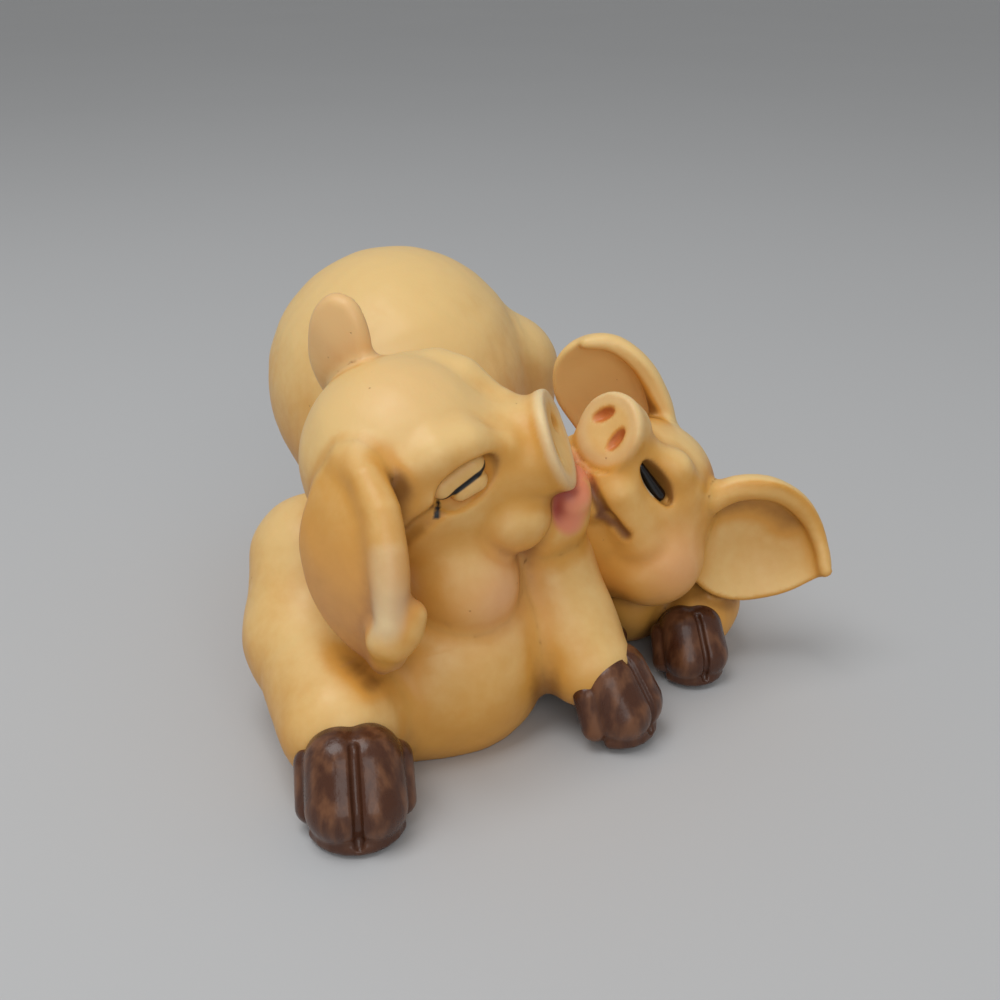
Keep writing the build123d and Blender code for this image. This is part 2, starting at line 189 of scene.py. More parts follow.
class Ear:
    """A cupped leaf: bowed along its length, hollow across its width, with one edge folded forward."""

    # Half the span over which slopes are measured, in millimetres, and shares of the ear's own sizes
    probe = 0.2
    fold_start_share = 0.40
    root_share = 0.12
    round_share = 0.48

    def __init__(self, root, growth, back, length, width, thickness, bow, cup,
                 fold_side=1, fold=0.0, widest=0.40, point=0.62, root_cut=0.30):
        self.root = np.asarray(root, float)
        self.growth = unit(growth)
        back = np.asarray(back, float)
        self.back = unit(back - self.growth * (self.growth @ back))
        self.side = np.cross(self.back, self.growth)
        self.length, self.width, self.thickness = length, width, thickness
        self.bow, self.cup = bow, cup
        self.fold_side, self.fold = fold_side, fold
        self.widest, self.point, self.root_cut = widest, point, root_cut

    def half_width(self, u):
        share = u / self.length
        beyond = np.clip((share - self.widest) / (1 - self.widest), 0, 1)
        before = np.clip((self.widest - share) / self.widest, 0, 1.4)
        taper = np.maximum(1 - beyond ** 2, 0) ** self.point
        return self.width / 2 * taper * (1 - self.root_cut * before ** 2)

    def height(self, u, v):
        share = np.clip(u / self.length, -0.3, 1.1)
        across = v / (self.width / 2)
        folded = np.maximum(across * self.fold_side - self.fold_start_share, 0)
        return (4 * self.bow * self.length * share * (1 - share) - self.cup * self.width * across ** 2
                - self.fold * self.width * folded ** 2 - self.thickness / 2)

    def edge(self, side, start, end, count, inset, lift, radii):
        """Places with radii along one edge, raised towards the front of the ear."""
        for share in np.linspace(0, 1, count):
            u = self.length * (start + (end - start) * share)
            v = side * max(self.half_width(u) - inset, 0)
            place = self.root + self.growth * u + self.side * v + self.back * (self.height(u, v) - lift)
            yield place, radii[0] + (radii[1] - radii[0]) * share

    def local(self, points):
        offset = points - self.root
        return offset @ self.growth, offset @ self.side, offset @ self.back

    def parts(self, points):
        u, v, w = self.local(points)
        step = self.probe
        rim = self.half_width(u)
        slope = (self.half_width(u + step) - self.half_width(u - step)) / (2 * step)
        outside = (np.abs(v) - rim) / np.sqrt(1 + np.clip(slope, -4, 4) ** 2)
        outside = np.maximum(outside, u - self.length)
        outside = np.maximum(outside, -u - self.length * self.root_share)
        rise_u = (self.height(u + step, v) - self.height(u - step, v)) / (2 * step)
        rise_v = (self.height(u, v + step) - self.height(u, v - step)) / (2 * step)
        through = (w - self.height(u, v)) / np.sqrt(1 + rise_u ** 2 + rise_v ** 2)
        return outside, through

    def distance(self, points):
        outside, through = self.parts(points)
        return rounded(outside, np.abs(through) - self.thickness / 2, self.thickness * self.round_share)

    def add_blank(self, target):
        bm = bmesh.new()
        bmesh.ops.create_grid(bm, x_segments=24, y_segments=16, size=1.0)
        for vert in bm.verts:
            u = (vert.co.x * 0.5 + 0.5) * self.length * 1.06 - self.length * 0.10
            v = vert.co.y * max(float(self.half_width(min(u, self.length * 0.97))), 0.3)
            vert.co = Vector((u, v, float(self.height(u, v))))
        bmesh.ops.solidify(bm, geom=bm.faces[:], thickness=self.thickness)
        lift = sum(vert.co.z - float(self.height(vert.co.x, vert.co.y)) for vert in bm.verts) / len(bm.verts)
        for vert in bm.verts:
            u, v, w = vert.co
            vert.co = Vector((self.root + self.growth * u + self.side * v + self.back * (w - lift)) * MM)
        append(bm, target)


class Form:
    """Lobes in named groups, blended into one skin, with hollows pressed into it."""

    def __init__(self, swell=0.0):
        self.swell = swell
        self.groups = {}
        self.blends = {}
        self.cuts = []
        self.blank = bmesh.new()

    def group(self, node, blend):
        self.groups[node] = []
        self.blends[node] = blend

    def lobe(self, node, start, end, start_radius, end_radius, blend=2.0):
        self.chain(node, ((start, start_radius), (end, end_radius)), blend)

    def add_hull(self, start, end, start_radius, end_radius):
        bm = bmesh.new()
        for centre, radius in ((start, start_radius), (end, end_radius)):
            bmesh.ops.create_icosphere(bm, subdivisions=3, radius=radius * MM,
                                       matrix=Matrix.Translation(centre * MM))
        hull = bmesh.ops.convex_hull(bm, input=bm.verts[:])
        inner = [item for item in hull["geom_interior"] if isinstance(item, bmesh.types.BMVert)]
        bmesh.ops.delete(bm, geom=inner, context="VERTS")
        append(bm, self.blank)

    def chain(self, node, row, blend):
        """One lobe that runs through a row of points, each with its own radius."""
        for link in links(row):
            self.add_hull(*link)
        self.groups[node].append((lambda points: row_distance(points, row), blend))

    def disc(self, node, centre, normal, radius, thickness, blend):
        edge = thickness * 0.42
        self.groups[node].append(
            (lambda points: round_disc(points, centre, normal, radius, thickness / 2, edge), blend))
        turn = Vector(normal).to_track_quat("Z", "Y").to_matrix().to_4x4()
        bmesh.ops.create_cone(self.blank, cap_ends=True, segments=48, radius1=radius * MM,
                              radius2=radius * MM, depth=thickness * MM,
                              matrix=Matrix.Translation(centre * MM) @ turn)

    def ear(self, node, ear):
        self.groups[node].append((ear.distance, 1.0))
        ear.add_blank(self.blank)

    def hollow(self, distance, blend):
        self.cuts.append((distance, blend))

    def group_distances(self, points):
        rows = []
        for lobes in self.groups.values():
            total = lobes[0][0](points)
            for distance, blend in lobes[1:]:
                total = soft_union(total, distance(points), blend)
            rows.append(total)
        return rows

    def distance(self, points):
        rows = self.group_distances(points)
        total = rows[0]
        for row, node in zip(rows[1:], list(self.groups)[1:]):
            total = soft_union(total, row, self.blends[node])
        for distance, blend in self.cuts:
            total = soft_cut(total, distance(points), blend)
        return total - self.swell * ripple(points, swell_reach)

    def owner(self, points):
        return np.argmin(np.stack(self.group_distances(points)), axis=0)

    def gradient(self, points, step=0.08):
        corners = np.array([(1, -1, -1), (-1, -1, 1), (-1, 1, -1), (1, 1, 1)], float)
        return sum(np.outer(self.distance(points + corner * step), corner) for corner in corners) / (4 * step)

    def settle(self, points, rounds):
        """Move points onto the skin along its slope."""
        for _ in range(rounds):
            slope = self.gradient(points)
            size2 = np.maximum(np.einsum("ij,ij->i", slope, slope), 0.2)
            step = np.clip(self.distance(points) / size2, -0.8, 0.8)
            points = points - slope * step[:, None]
        return points

    def hidden_share(self, points, normals, reaches):
        """How far the skin closes in over each point, from open to deep crease."""
        total = np.zeros(len(points))
        for reach in reaches:
            total += np.clip((reach - self.distance(points + normals * reach)) / reach, 0, 1)
        return total / len(reaches)


# Mesh helpers

def read(items, name, width, kind=float):
    flat = np.empty(len(items) * width, kind)
    items.foreach_get(name, flat)
    return flat.reshape(-1, width)


def mesh_points(mesh):
    return read(mesh.vertices, "co", 3) / MM


def set_points(mesh, points):
    mesh.vertices.foreach_set("co", (points * MM).ravel())
    mesh.update()


def mesh_normals(mesh):
    return read(mesh.vertex_normals, "vector", 3)


def mesh_object(name, mesh):
    obj = bpy.data.objects.new(name, mesh)
    bpy.context.scene.collection.objects.link(obj)
    return obj


def voxel_copy(mesh, cell):
    """The outer skin of a mesh's shapes, and the mesh itself is removed."""
    holder = mesh_object("blank", mesh)
    voxels = holder.modifiers.new("voxels", "REMESH")
    voxels.mode = "VOXEL"
    voxels.voxel_size = cell * MM
    graph = bpy.context.evaluated_depsgraph_get()
    skin = bpy.data.meshes.new_from_object(holder.evaluated_get(graph))
    bpy.data.objects.remove(holder)
    bpy.data.meshes.remove(mesh)
    return skin


def remeshed(form, cell):
    """One closed skin round all the lobes of a form, settled onto its blended surface in stages."""
    mesh = bpy.data.meshes.new("blank")
    form.blank.to_mesh(mesh)
    form.blank.free()
    for share, rounds in mesh_stages:
        mesh = voxel_copy(mesh, cell * share)
        points = form.settle(mesh_points(mesh), rounds)
        points[:, 2] = np.maximum(points[:, 2], 0)
        set_points(mesh, points)
    return mesh


def store(mesh, name, kind, values):
    layer = mesh.attributes.new(name, kind, "POINT")
    layer.data.foreach_set("color" if kind == "FLOAT_COLOR" else "vector", values.astype(np.float32).ravel())


def smooth(mesh):
    mesh.polygons.foreach_set("use_smooth", [True] * len(mesh.polygons))


def split(mesh, form):
    """Part a skin into its castings along the creases, and close each one over its glued face."""
    owner = form.owner(read(mesh.polygons, "center", 3) / MM)
    for index, node in enumerate(form.groups):
        bm = bmesh.new()
        bm.from_mesh(mesh)
        bm.faces.ensure_lookup_table()
        others = [bm.faces[i] for i in np.flatnonzero(owner != index)]
        bmesh.ops.delete(bm, geom=others, context="FACES")
        glued = bm.faces.layers.int.new("glued")
        rims = [edge for edge in bm.edges if edge.is_boundary]
        caps = bmesh.ops.holes_fill(bm, edges=rims, sides=0)["faces"]
        for face in caps:
            face[glued] = 1
        bmesh.ops.triangulate(bm, faces=caps)
        piece = bpy.data.meshes.new(node)
        bm.to_mesh(piece)
        bm.free()
        smooth(piece)
        keep_normals(piece)
        yield node, piece


def keep_normals(piece):
    """Shade the skin as it was before it was parted, and the glued faces flat."""
    whole = read(piece.attributes["skin_normal"].data, "vector", 3, np.float32)
    normals = whole[read(piece.loops, "vertex_index", 1, np.int32).ravel()]
    glued = read(piece.attributes["glued"].data, "value", 1, np.int32).ravel()
    for index in np.flatnonzero(glued):
        face = piece.polygons[index]
        normals[face.loop_start:face.loop_start + face.loop_total] = face.normal
    piece.normals_split_custom_set(normals)
    for name in ("skin_normal", "glued"):
        piece.attributes.remove(piece.attributes[name])


def finish_piece(obj, node, material):
    obj.data.materials.append(material)
    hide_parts(node)
    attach(obj, "root")


# Forms of the two pigs, in millimetres of the layout

front_head = Head((-12.7, -17.0, 40.2), (0.93, -0.09, 0.351), (-0.362, -0.323, 0.872), 13.0)
rear_head = Head((20.5, -0.5, 27.5), (-0.30, -0.50, 0.81), (0.74, 0.414, 0.531), 11.0)

# Each face lobe: start and end in shares of the head's radius, radius in millimetres, taper, blend
front_face = {
    "jowl": ((0.0, 0.0, -0.08), (0.08, 0.0, -0.75), 11.8, 0.95, 4.0),
    "muzzle": ((0.31, 0.0, -0.38), (1.0, 0.0, -0.42), 9.3, 0.7, 4.0),
    "snout": ((0.92, 0.0, -0.42), (1.44, 0.0, -0.39), 6.0, 1.02, 4.0),
    "temple brow": ((0.30, 0.75, 0.46), (0.56, 0.64, 0.43), 1.3, 1.25, 3.0),
    "brow": ((0.56, 0.64, 0.43), (0.80, 0.50, 0.32), 1.7, 1.0, 3.0),
    "nose brow": ((0.80, 0.50, 0.32), (1.08, 0.34, 0.06), 1.7, 0.5, 3.0),
    "upper cheek": ((0.12, 0.52, -0.52), (0.10, 0.62, -0.95), 5.9, 1.12, 1.0),
    "cheek": ((0.06, 0.70, -1.32), (0.10, 0.70, -1.26), 7.8, 1.0, 3.0),
    "pad": ((0.76, 0.42, -0.80), (0.84, 0.38, -0.84), 5.1, 1.0, 1.4),
    "jaw": ((0.31, 0.0, -1.38), (0.98, 0.0, -1.34), 6.6, 0.7, 1.2),
    "lower lip": ((1.02, 0.22, -1.30), (1.22, 0.10, -1.36), 3.6, 0.90, 1.2),
    "lip": ((1.36, 0.10, -1.12), (1.22, 0.10, -1.36), 3.1, 1.06, 1.4),
}
rear_face = {
    "jowl": ((-0.10, 0.0, -0.20), (-0.30, 0.0, -0.70), 9.0, 0.95, 4.0),
    "muzzle": ((0.31, 0.0, -0.31), (0.94, 0.0, -0.31), 8.1, 0.7, 4.0),
    "snout": ((0.94, 0.0, -0.31), (1.42, 0.0, 0.0), 4.9, 1.0, 3.0),
    "cheek": ((-0.31, 0.62, -0.47), (-0.31, 0.62, -0.47), 7.6, 1.0, 2.0),
    "pad": ((0.30, 0.68, -0.54), (1.0, 0.40, -0.47), 3.3, 0.95, 1.4),
    "brow": ((0.44, 0.70, 0.30), (0.80, 0.58, 0.30), 1.3, 1.15, 3.0),
    "nose brow": ((0.80, 0.58, 0.30), (1.06, 0.38, 0.18), 1.5, 0.7, 3.0),
    "jaw": ((0.16, 0.0, -0.78), (1.0, 0.0, -0.78), 6.0, 0.58, 1.2),
    "lip": ((0.98, 0.20, -0.74), (1.08, 0.08, -0.72), 3.0, 0.95, 1.2),
}

# Each eye: where its line crosses the skin, the way it faces and the way its line runs, in head axes
front_eye = ((0.69, 0.72, 0.05), (0.50, 0.85, 0.12), (0.80, -0.59, 0.0))
rear_eye = ((0.87, 0.58, -0.05), (0.50, 0.84, 0.15), (-0.76, 0.65, 0.0))


class Disc(NamedTuple):
    """A snout disc: its middle, the way it faces and its top in head axes, its radius and thickness."""

    share: tuple
    facing: tuple
    top: tuple
    radius: float
    thickness: float


front_disc = Disc((1.50, 0.0, -0.385), (1.0, 0.0, 0.0), (0.0, 0.0, 1.0), 6.3, 1.0)
rear_disc = Disc((1.55, 0.0, -0.06), (0.85, 0.0, -0.53), (0.0, 0.38, 1.0), 4.7, 1.2)

# Flat and dish of a disc's face, in millimetres: how far and how wide the flat clears the space before it,
# its edge and blend, the dish's radius as a share of the disc's, its depths and blend
disc_blend = 2.0
flat_reach = 8.0
flat_margin = 1.5
flat_edge = 0.2
flat_blend = 0.5
dish_radius_share = 2.5
front_dish_depth = 0.6
rear_dish_depth = 0.25
dish_blend = 0.6

# Nostrils: radii in millimetres, pressed into both discs and painted on the rear one, then shares of
# the disc's radius and thickness, the rise in millimetres and the lean
nostril_radii = (0.75, 1.75, 1.0)
painted_nostril_radii = (0.70, 1.75, 1.5)
nostril_spread_share = 0.44
nostril_out_share = 0.4
nostril_rise = 0.3
nostril_lean = 0.25
nostril_blend = 0.5

# Eye sockets: radii along the eye's line, across it and into the head, height and blend, in millimetres
front_socket = (4.7, 2.9, 2.7)
rear_socket = (3.9, 1.25, 1.9)
socket_height = 0.2
socket_blend = 0.9

# Closed lids and black eyeball in eye axes: start and end of each lobe, their radii and the blend
lid_lobes = (((-2.4, 0.75, -1.60), (2.1, 0.70, -1.55), 1.70, 1.80, 2.0),
             ((-0.9, -1.10, -1.05), (1.5, -1.20, -1.0), 1.30, 1.50, 0.25))
ball_lobes = (((-2.9, 0.1, -0.75), (2.2, 0.0, -0.80), 0.55, 1.0, 2.0),)

# Painted lines in eye axes: between the lids, from their corner onto the skin, and the pale rim below the
# black eye, each with its radius and soft edge in millimetres, the rim partly a painted highlight; then the
# lids' even darker tone, and their painted shade in the creases
lid_line = ((-4.0, -0.50, -0.9), (-1.4, -0.15, -0.1), (1.6, -0.05, 0.1), (3.7, 0.15, -0.5))
lid_line_sizes = (0.28, 0.2)
lid_corner = ((-3.4, -0.35, -0.6), (-5.4, -1.0, 0.3))
lid_corner_sizes = (0.22, 0.25)
lower_lid = ((-2.6, -1.0, 0.0), (1.0, -1.25, 0.0))
lower_lid_sizes = (0.35, 0.4)
lid_darkening = 0.22
lid_crease_shade = 0.7
lid_crease_reaches = (0.4, 0.8)

# Grooves run through points on the skin: the fold below the front pig's eye, and the rear pig's mouth,
# each with its radius and blend in millimetres
front_fold = ((0.36, 0.98, 0.0), (0.18, 1.02, -0.03), (-0.04, 1.03, -0.13), (-0.22, 1.0, -0.30))
front_fold_sizes = (0.8, 1.4)
rear_mouth = ((1.40, 0.12, -0.66), (1.20, 0.36, -0.74), (0.97, 0.52, -0.79), (0.64, 0.72, -0.72))
rear_mouth_sizes = (0.5, 1.0)

# The front pig's right ear has a thick rolled front edge, which ends in a turned-out tip
rolled_rim = (((-18.3, -27.6, 44.2), 1.2), ((-15.8, -31.6, 43.6), 1.6), ((-13.9, -34.6, 40.6), 1.75),
              ((-13.2, -36.8, 36.3), 1.75), ((-13.0, -38.4, 32.0), 1.6), ((-13.2, -39.2, 28.0), 1.5),
              ((-13.4, -38.6, 25.6), 2.0))
turned_tip = (((-14.6, -34.8, 19.8), 1.2), ((-13.8, -36.0, 22.0), 2.0), ((-13.0, -37.8, 24.8), 2.5),
              ((-11.5, -37.6, 26.4), 2.3), ((-10.4, -37.2, 28.2), 1.7))

# Blends in millimetres: of each casting with the ones before it, and between the lobes of a leg
body_blend = 4.0
head_blend = 1.6
front_leg_blend = 3.0
rear_leg_blend = 1.6
leg_lobe_blend = 3.0
front_ear_blend = 2.0
rear_ear_blend = 1.6
front_rim_blend = 2.2
rear_rim_blend = 1.4
tail_blend = 0.8

# Body lobes: start and end, their radii and the blend
front_body = (((-8.0, -15.0, 10.5), (-8.0, -15.0, 10.5), 15.3, 15.3, 6.0),
              ((-10.0, -6.0, 20.0), (-15.0, 18.0, 34.0), 14.5, 17.0, 6.0),
              ((-16.5, 25.0, 36.5), (-16.5, 25.0, 36.5), 20.6, 20.6, 6.0),
              ((-9.0, -16.0, 9.0), (-14.5, -23.5, 7.5), 13.0, 9.0, 4.0))
rear_body = (((19.0, 6.0, 11.0), (20.5, 26.0, 12.0), 11.0, 12.6, 2.0),)


class Leg(NamedTuple):
    """Top, middle and ankle points with their radii, then the hoof's centre, radius and heading."""

    points: tuple
    radii: tuple
    hoof: tuple
    hoof_radius: float
    heading: tuple


legs = {
    "front_pig_right_fore": Leg(
        ((-26.0, -9.0, 21.0), (-26.8, -17.0, 13.0), (-20.5, -32.5, 9.5)), (9.5, 8.2, 8.2),
        (-18.0, -41.0, 7.2), 8.0, (0.15, -1, 0)),
    "front_pig_left_fore": Leg(
        ((5.0, -10.0, 22.5), (9.0, -15.0, 13.0), (12.0, -19.0, 10.0)), (8.0, 7.0, 6.2),
        (15.8, -21.0, 7.0), 7.2, (0.85, -0.55, 0)),
    "front_pig_right_hind": Leg(
        ((-24.0, 27.0, 28.0), (-24.0, 17.0, 8.0), (-24.0, 34.0, 5.8)), (9.0, 7.6, 5.6),
        (-24.0, 42.0, 5.2), 5.8, (0, 1, 0)),
    "front_pig_left_hind": Leg(
        ((0.5, 29.0, 36.5), (-2.0, 17.0, 8.0), (-1.5, 34.0, 5.8)), (9.0, 7.6, 5.6),
        (-1.5, 42.0, 5.2), 5.8, (0, 1, 0)),
    "rear_pig_left_fore": Leg(
        ((29.0, 9.0, 11.0), (30.0, 2.0, 8.0), (29.3, -1.5, 7.0)), (6.8, 6.2, 5.4),
        (28.5, -6.0, 6.0), 6.2, (0.35, -0.95, 0)),
    "rear_pig_right_fore": Leg(
        ((10.0, 8.0, 11.0), (9.5, 1.0, 8.0), (11.0, -3.0, 7.0)), (6.8, 6.2, 5.4),
        (13.0, -8.0, 6.0), 6.2, (-0.1, -1, 0)),
    "rear_pig_left_hind": Leg(
        ((28.0, 29.0, 10.0), (30.0, 18.0, 6.0), (32.5, 24.0, 4.8)), (6.8, 5.6, 4.6),
        (34.0, 31.0, 4.5), 5.0, (0.1, 1, 0)),
    "rear_pig_right_hind": Leg(
        ((13.0, 30.0, 10.0), (10.5, 18.0, 6.0), (8.5, 24.0, 4.8)), (6.8, 5.6, 4.6),
        (7.5, 31.0, 4.5), 5.0, (-0.1, 1, 0)),
}

# Hooves in shares of their radius, along the heading, across it and up: heel lobe with its two radii,
# plates of each side with radius and blend, the middle, spread, height and radius of the sole, and the cleft
hoof_heel_shares = ((-0.32, 0, 0.06), (0.0, 0, -0.30), 0.70, 0.62)
hoof_plate_shares = (((-0.06, 0.20, 0.26), (0.30, 0.22, -0.30), 0.58, 0.05),
                     ((-0.24, 0.66, 0.16), (-0.02, 0.68, -0.50), 0.27, 0.03))
sole_shares = (0.06, 0.66, -0.74, 0.14)
sole_turns = np.linspace(-1.2, 1.2, 9)
sole_blend_share = 0.08
cleft_shares = ((0.22, 0, 0.72), (0.55, 0, 0.45), (0.80, 0, 0.0), (0.86, 0, -0.40), (0.84, 0, -0.66))
cleft_radius_share = 0.075
cleft_blend_share = 0.05

# Hoof paint, in millimetres: how far clefts are felt for the painted shade in them, then how far out and in
# the skin is felt for the lighter paint on raised edges, worn thin and partly a painted highlight, and the
# least rise between those two places that shows any
hoof_crease_reaches = (0.5, 1.0, 2.0)
raised_reach = 1.5
raised_rise = 2.4

ears = {
    "front_pig_right_ear": Ear(
        front_head.point((-0.27, -0.80, 0.72)), (0.17, -0.20, -0.97), (-0.62, -0.75, 0.20),
        25.5, 17.0, 2.2, 0.150, 0.084, root_cut=0.50),
    "front_pig_left_ear": Ear(
        front_head.point((-0.54, 0.69, 0.40)), (0.06, -0.25, 0.95), (-0.45, -0.85, -0.10),
        15.5, 9.6, 2.0, 0.10, 0.10, widest=0.45, point=0.40),
    "rear_pig_left_ear": Ear(
        rear_head.point((-0.43, 0.70, 0.38)), (0.93, -0.05, -0.37), (-0.05, 0.96, -0.10),
        20.0, 20.0, 2.0, 0.16, 0.14, fold_side=-1, fold=0.35, widest=0.34, point=0.78),
    "rear_pig_right_ear": Ear(
        rear_head.point((-0.16, -0.70, 0.63)), (-0.505, -0.09, 0.858), (0.0, 0.85, 0.40),
        20.0, 16.0, 2.0, 0.14, 0.14, fold_side=1, fold=0.35, widest=0.52, point=0.48),
}

# Rows along an edge of the rear ears, for the folded rim and the painted shadow in the hollow behind it:
# start and end as shares of the length, count, inset and lift in millimetres and the radii at both ends
rear_fold = (-0.06, 0.97, 16, 1.6, 1.5, (2.0, 0.8))
rear_fold_shadow = (-0.02, 0.58, 8, 4.9, 0.0, (1.0, 1.0))

# Rumps: centre, radius and the radius of the tail, which is placed in shares of the rump's radius
rumps = {"front_pig": ((-16.5, 25.0, 36.5), 20.6, 2.0), "rear_pig": ((20.5, 26.0, 12.0), 12.6, 1.6)}
tail_shares = ((0, 0.88, 0.28), (-0.02, 1.14, 0.42), (0.10, 1.18, 0.52))
tail_taper = 0.7

# The layout's place in the frame, read off a casting that both share
eye_low, eye_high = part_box("front_pig_right_eye")
eye_centre = front_head.point((0.68, 0.62, -0.11), -1)
layout_shift = (np.array(eye_low) + np.array(eye_high)) / 2 / MM - eye_centre


def moved(points):
    return np.asarray(points, float) + layout_shift


def move_layout():
    """Carry every layout place into the frame."""
    for head in (front_head, rear_head):
        head.centre = moved(head.centre)
    for ear in ears.values():
        ear.root = moved(ear.root)


move_layout()


def face_lobes(form, node, head, face):
    for start, end, radius, taper, blend in face.values():
        for side in ((1, -1) if start[1] else (1,)):
            form.lobe(node, head.point(start, side), head.point(end, side), radius, radius * taper, blend)


def nostril_places(head, disc):
    """Centre and axes of the slanting slits in a snout disc."""
    normal = head.direction(disc.facing)
    left = unit(np.cross(head.direction(disc.top), normal))
    up = np.cross(normal, left)
    middle = head.point(disc.share)
    for side in (1, -1):
        centre = (middle + left * disc.radius * nostril_spread_share * side + up * nostril_rise
                  + normal * disc.thickness * nostril_out_share)
        lean = unit(up - left * nostril_lean * side)
        yield centre, (np.cross(lean, normal), lean, normal)


def snout_disc(form, node, head, disc, dish_depth):
    """A flat disc with a shallow dish in its face and two nostrils."""
    normal = head.direction(disc.facing)
    middle = head.point(disc.share)
    face = middle + normal * disc.thickness / 2
    form.disc(node, middle, normal, disc.radius, disc.thickness, disc_blend)
    before = face + normal * flat_reach
    flat_radius = disc.radius + flat_margin
    form.hollow(lambda p: round_disc(p, before, normal, flat_radius, flat_reach, flat_edge), flat_blend)
    dish_radius = disc.radius * dish_radius_share
    dish = face + normal * (dish_radius - dish_depth)
    form.hollow(lambda p: np.linalg.norm(p - dish, axis=1) - dish_radius, dish_blend)
    for centre, axes in nostril_places(head, disc):
        form.hollow(lambda p, c=centre, a=axes: ellipsoid(p, c, a, nostril_radii), nostril_blend)


def skin_line(form, places):
    """A row of close places, brought onto the skin."""
    places = np.asarray(places, float)
    spans = [np.linspace(a, b, 6, endpoint=False) for a, b in zip(places[:-1], places[1:])]
    return form.settle(np.concatenate([*spans, places[-1:]]), 12)


def groove(form, places, radius, blend):
    row = [(place, radius) for place in skin_line(form, places)]
    form.hollow(lambda points: row_distance(points, row), blend)


class EyePlace:
    """An eye's own axes: out of the skin, along its line and across it towards the brow."""

    def __init__(self, head, eye, side):
        spot, facing, line = eye
        self.spot = head.point(spot, side)
        self.out = head.direction(facing, side)
        line = head.direction(line, side)
        self.line = unit(line - self.out * (self.out @ line))
        self.brow = np.cross(self.out, self.line)
        self.brow *= np.sign(self.brow @ head.up)

    def at(self, offsets):
        along, across, out = offsets
        return self.spot + self.line * along + self.brow * across + self.out * out


def eye_socket(form, place, radii):
    axes = (place.line, place.brow, place.out)
    centre = place.at((0, 0, socket_height))
    form.hollow(lambda p: ellipsoid(p, centre, axes, radii), socket_blend)


def body_lobes(form, node, rows):
    form.group(node, body_blend)
    for start, end, start_radius, end_radius, blend in rows:
        form.lobe(node, moved(start), moved(end), start_radius, end_radius, blend)


def limb(form, node, points, radii, group_blend, blend):
    """Lobes that run from each point to the next."""
    form.group(node, group_blend)
    balls = list(zip(points, radii))
    for pair in zip(balls[:-1], balls[1:]):
        form.chain(node, pair, blend)


def pig_form(pig, head, body, face, disc, dish_depth, leg_blend):
    """A pig's body, head and legs."""
    form = Form(skin_swell)
    body_lobes(form, f"{pig}_body", body)
    node = f"{pig}_head"
    form.group(node, head_blend)
    form.lobe(node, head.centre, head.centre, head.radius, head.radius)
    face_lobes(form, node, head, face)
    snout_disc(form, node, head, disc, dish_depth)
    for name, leg in legs.items():
        if name.startswith(pig):
            limb(form, f"{name}_leg", moved(leg.points), leg.radii, leg_blend, leg_lobe_blend)
    return form


def tail(form, pig):
    centre, rump_radius, radius = rumps[pig]
    points = [moved(centre) + np.array(share) * rump_radius for share in tail_shares]
    limb(form, f"{pig}_tail", points, (radius, radius, radius * tail_taper), tail_blend, tail_blend)


def front_form():
    form = pig_form("front_pig", front_head, front_body, front_face, front_disc, front_dish_depth,
                    front_leg_blend)
    for side in ("right", "left"):
        node = f"front_pig_{side}_ear"
        form.group(node, front_ear_blend)
        form.ear(node, ears[node])
    for row in (rolled_rim, turned_tip):
        form.chain("front_pig_right_ear", [(moved(place), radius) for place, radius in row], front_rim_blend)
    tail(form, "front_pig")
    for side in (1, -1):
        eye_socket(form, EyePlace(front_head, front_eye, side), front_socket)
        groove(form, [front_head.point(share, side) for share in front_fold], *front_fold_sizes)
    return form


def rear_form():
    form = pig_form("rear_pig", rear_head, rear_body, rear_face, rear_disc, rear_dish_depth, rear_leg_blend)
    for side in ("right", "left"):
        node = f"rear_pig_{side}_ear"
        form.group(node, rear_ear_blend)
        ear = ears[node]
        form.ear(node, ear)
        form.chain(node, list(ear.edge(ear.fold_side, *rear_fold)), rear_rim_blend)
    tail(form, "rear_pig")
    for side in (1, -1):
        eye_socket(form, EyePlace(rear_head, rear_eye, side), rear_socket)
        groove(form, [rear_head.point(share, side) for share in rear_mouth], *rear_mouth_sizes)
    return form


# Painted shade: how far creases are felt for, shares on faces turned down and darker low down, and how high
# that is
crease_reaches = (0.7, 1.4, 2.8, 5.0)
turned_down_shade = 0.26
low_darkening = 0.16
low_height = 45.0

# Painted spots: place in head axes, reach in millimetres and strength
front_blush = (((0.45, -0.2, 1.0), 8.0, 0.25), ((0.54, -1.02, -1.25), 5.5, 0.9),
               ((0.54, 1.02, -1.25), 5.5, 0.9))
rear_blush = (((0.0, 1.2, -0.4), 5.5, 0.8), ((0.0, -1.2, -0.4), 5.5, 0.8))
# Spots with less painted shade, which leave the crown and the cheeks lighter
front_less_shade = (((0.30, 0.20, 1.0), 9.0, 0.14), ((0.10, 0.95, -0.60), 8.0, 0.12))
front_lip = ((1.36, 0.10, -1.08), (1.24, 0.16, -1.24))


def spots(points, head, rows):
    """Soft round spots, strongest at their middles."""
    return sum(strength * np.exp(-np.square(np.linalg.norm(points - head.point(share), axis=1) / reach))
               for share, reach, strength in rows)


def along(points, places, radius, soft):
    """One on a row of places, fading to nought beyond a radius."""
    return 1 - smooth_step(0, soft, row_distance(points, [(place, radius) for place in places]))


def on_ear(points, ear):
    outside, through = ear.parts(points)
    return 1 - smooth_step(0.5, 2.0, np.maximum(outside, np.abs(through) - ear.thickness / 2))


def ear_blush(points, ear, reach):
    """Pink over an ear, growing from its root outwards."""
    grown = ear.local(points)[0]
    return on_ear(points, ear) * smooth_step(0, reach * ear.length, grown)


def disc_rim(points, head, disc):
    """One on the outer edge of a snout disc."""
    normal = head.direction(disc.facing)
    middle = head.point(disc.share)
    gap = round_disc(points, middle, normal, disc.radius, disc.thickness / 2, disc.thickness * 0.4)
    local = points - middle
    out = np.linalg.norm(local - np.outer(local @ normal, normal), axis=1)
    return (1 - smooth_step(0.2, 0.9, gap)) * smooth_step(disc.radius - 2.0, disc.radius - 0.5, out)


